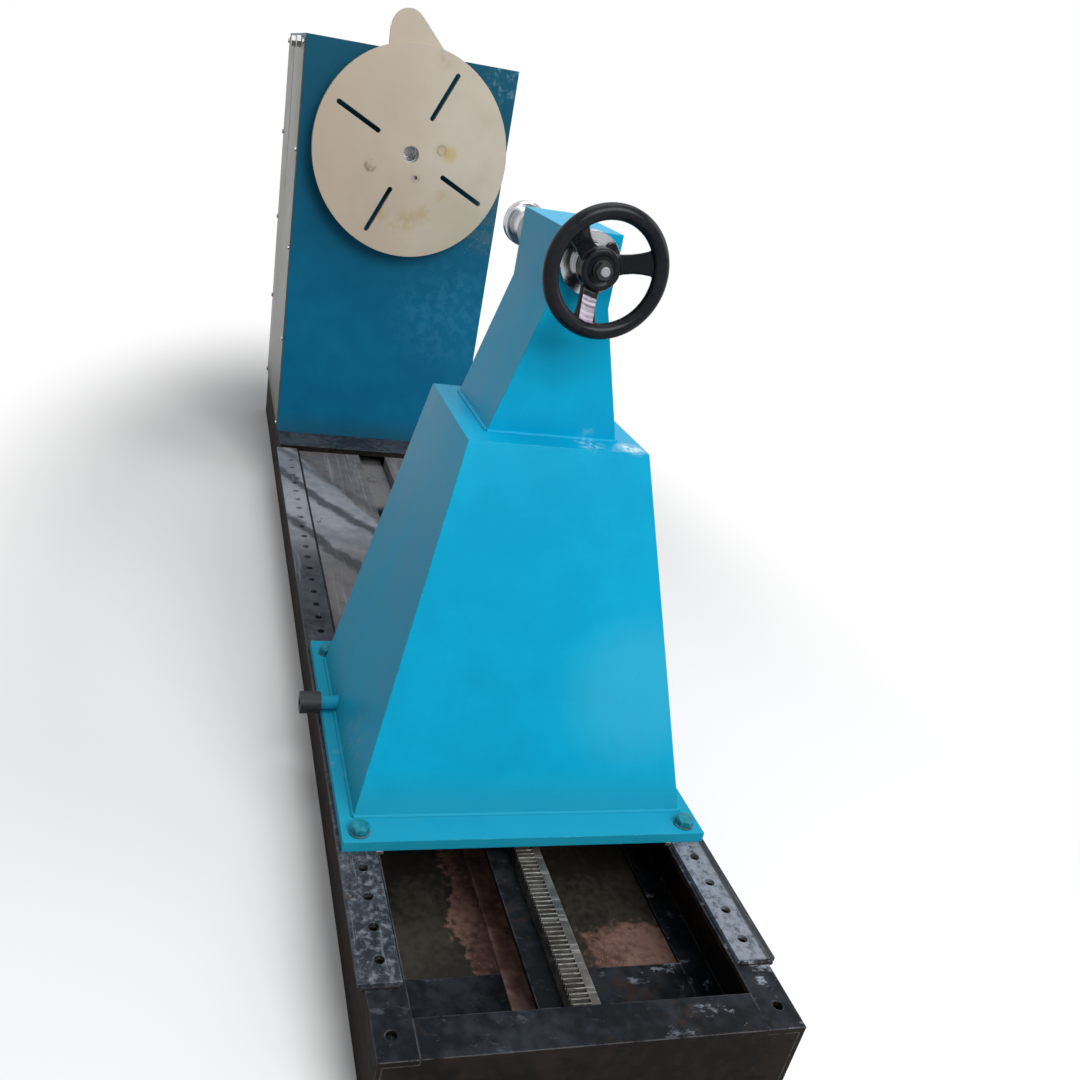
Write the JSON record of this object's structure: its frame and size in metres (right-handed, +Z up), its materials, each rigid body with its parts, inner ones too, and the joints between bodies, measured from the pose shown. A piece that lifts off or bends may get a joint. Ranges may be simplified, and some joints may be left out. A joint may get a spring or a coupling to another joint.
{
  "type": "wire coil winding machine",
  "caption": "Horizontal coil winding machine: slotted faceplate driven in a cabinet headstock, and a tailstock with a live centre that moves along a welded bed by rack and pinion.",
  "frame": {"origin": "on the floor under the spindle axis, halfway along the bed", "axes": "+X along the bed from the headstock to the tailstock end, +Y away from the operator, +Z up"},
  "size_m": [3.2, 0.71, 1.467],
  "materials": {
    "bed_paint": "worn black paint",
    "bed_floor_paint": "oil stained, rusting",
    "worn_steel": "worn",
    "gear_steel": "oiled",
    "deck_steel": "mill scale",
    "headstock_paint": "satin",
    "tailstock_paint": "satin",
    "cream_paint": "satin",
    "motor_paint": "satin",
    "cast_housing": "as cast",
    "machined_steel": "turned",
    "sleeve_steel": "turned",
    "faceplate_steel": "turned, lightly stained",
    "quill_chrome": "polished",
    "bronze": "turned",
    "wheel_enamel": "gloss black",
    "black_bolts": "blackened",
    "zinc_screws": "zinc plated",
    "belt_rubber": "matt"
  },
  "bodies": {
    "bed": {"bed_side_beam_left": "bed_paint", "bed_side_beam_right": "bed_paint", "bed_end_beam_front": "bed_paint", "bed_end_beam_rear": "bed_paint", "bed_cross_ties": "bed_paint", "bed_bottom_sheets": "bed_floor_paint", "rack_beam": "bed_paint", "slide_strip_left": "worn_steel", "slide_strip_right": "worn_steel", "gear_rack_front": "gear_steel", "gear_rack_rear": "gear_steel", "rack_keeper_bar": "gear_steel", "deck_plate_left": "deck_steel", "deck_plate_right": "deck_steel", "headstock_base_plate": "bed_paint", "headstock_cabinet": "headstock_paint", "headstock_side_panel_front": "cream_paint", "headstock_side_panel_rear": "cream_paint", "headstock_rear_panel": "cream_paint", "headstock_panel_screws": "zinc_screws", "headstock_side_bolts": "zinc_screws", "spindle_pedestal": "headstock_paint", "spindle_bearing_front": "cast_housing", "spindle_bearing_rear": "cast_housing", "spindle_bearing_rings": "machined_steel", "gearmotor": "motor_paint", "drive_belt": "belt_rubber"},
    "spindle": {"main_spindle": "machined_steel", "faceplate": "faceplate_steel", "faceplate_tongue": "faceplate_steel", "faceplate_hub_bolts": "zinc_screws", "spindle_pulley": "cast_housing", "spindle_lock_nut": "machined_steel"},
    "gearmotor_output": {"gearmotor_output_shaft": "machined_steel", "gearmotor_pulley": "cast_housing"},
    "tailstock": {"tailstock_base_plate": "tailstock_paint", "tailstock_clamp_bolts": "black_bolts", "tailstock_clamp_washers": "zinc_screws", "tailstock_guide_bars": "machined_steel", "tailstock_body": "tailstock_paint", "tailstock_column": "tailstock_paint", "quill_sleeve": "sleeve_steel", "quill_key": "machined_steel", "screw_flange": "machined_steel", "screw_flange_screws": "black_bolts", "pinion_bearing_tube": "tailstock_paint", "pinion_bearing_block": "cast_housing"},
    "pinion": {"pinion_shaft": "machined_steel", "rack_pinion": "gear_steel", "pinion_shaft_collar": "machined_steel", "crank_hub": "black_bolts"},
    "quill": {"quill": "quill_chrome", "quill_nut": "bronze", "live_centre_bearings": "machined_steel"},
    "live_centre": {"live_centre": "quill_chrome"},
    "screw": {"quill_screw": "machined_steel", "handwheel": "wheel_enamel", "handwheel_nut": "zinc_screws"}
  },
  "joints": [
    {"name": "spindle_spin", "type": "hinge", "parent": "bed", "child": "spindle", "pos_m": [-0.787, 0, 1.09], "axis": [1, 0, 0], "continuous": true},
    {"name": "gearmotor_output_spin", "type": "hinge", "parent": "bed", "child": "gearmotor_output", "pos_m": [-1.45, 0, 0.33], "axis": [1, 0, 0], "continuous": true},
    {"name": "tailstock_slide", "type": "slide", "parent": "bed", "child": "tailstock", "axis": [1, 0, 0], "range_m": [-1.05, 0.25]},
    {"name": "pinion_spin", "type": "hinge", "parent": "tailstock", "child": "pinion", "pos_m": [0.812, 0, 0.1921], "axis": [0, 1, 0], "range_deg": [-1185, 285]},
    {"name": "handwheel_spin", "type": "hinge", "parent": "tailstock", "child": "screw", "pos_m": [0.986, 0, 1.09], "axis": [-1, 0, 0], "range_deg": [-4320, 5760]},
    {"name": "quill_slide", "type": "slide", "parent": "tailstock", "child": "quill", "axis": [-1, 0, 0], "range_m": [-0.0605, 0.0805]},
    {"name": "live_centre_spin", "type": "hinge", "parent": "quill", "child": "live_centre", "pos_m": [0.505, 0, 1.09], "axis": [1, 0, 0], "continuous": true}
  ],
  "couplings": [
    {"joint": "gearmotor_output_spin", "follows": "spindle_spin", "ratio": 2.5},
    {"joint": "pinion_spin", "follows": "tailstock_slide", "rad_per_m": 19.608},
    {"joint": "quill_slide", "follows": "handwheel_spin", "m_per_rad": 0.00079577}
  ]
}
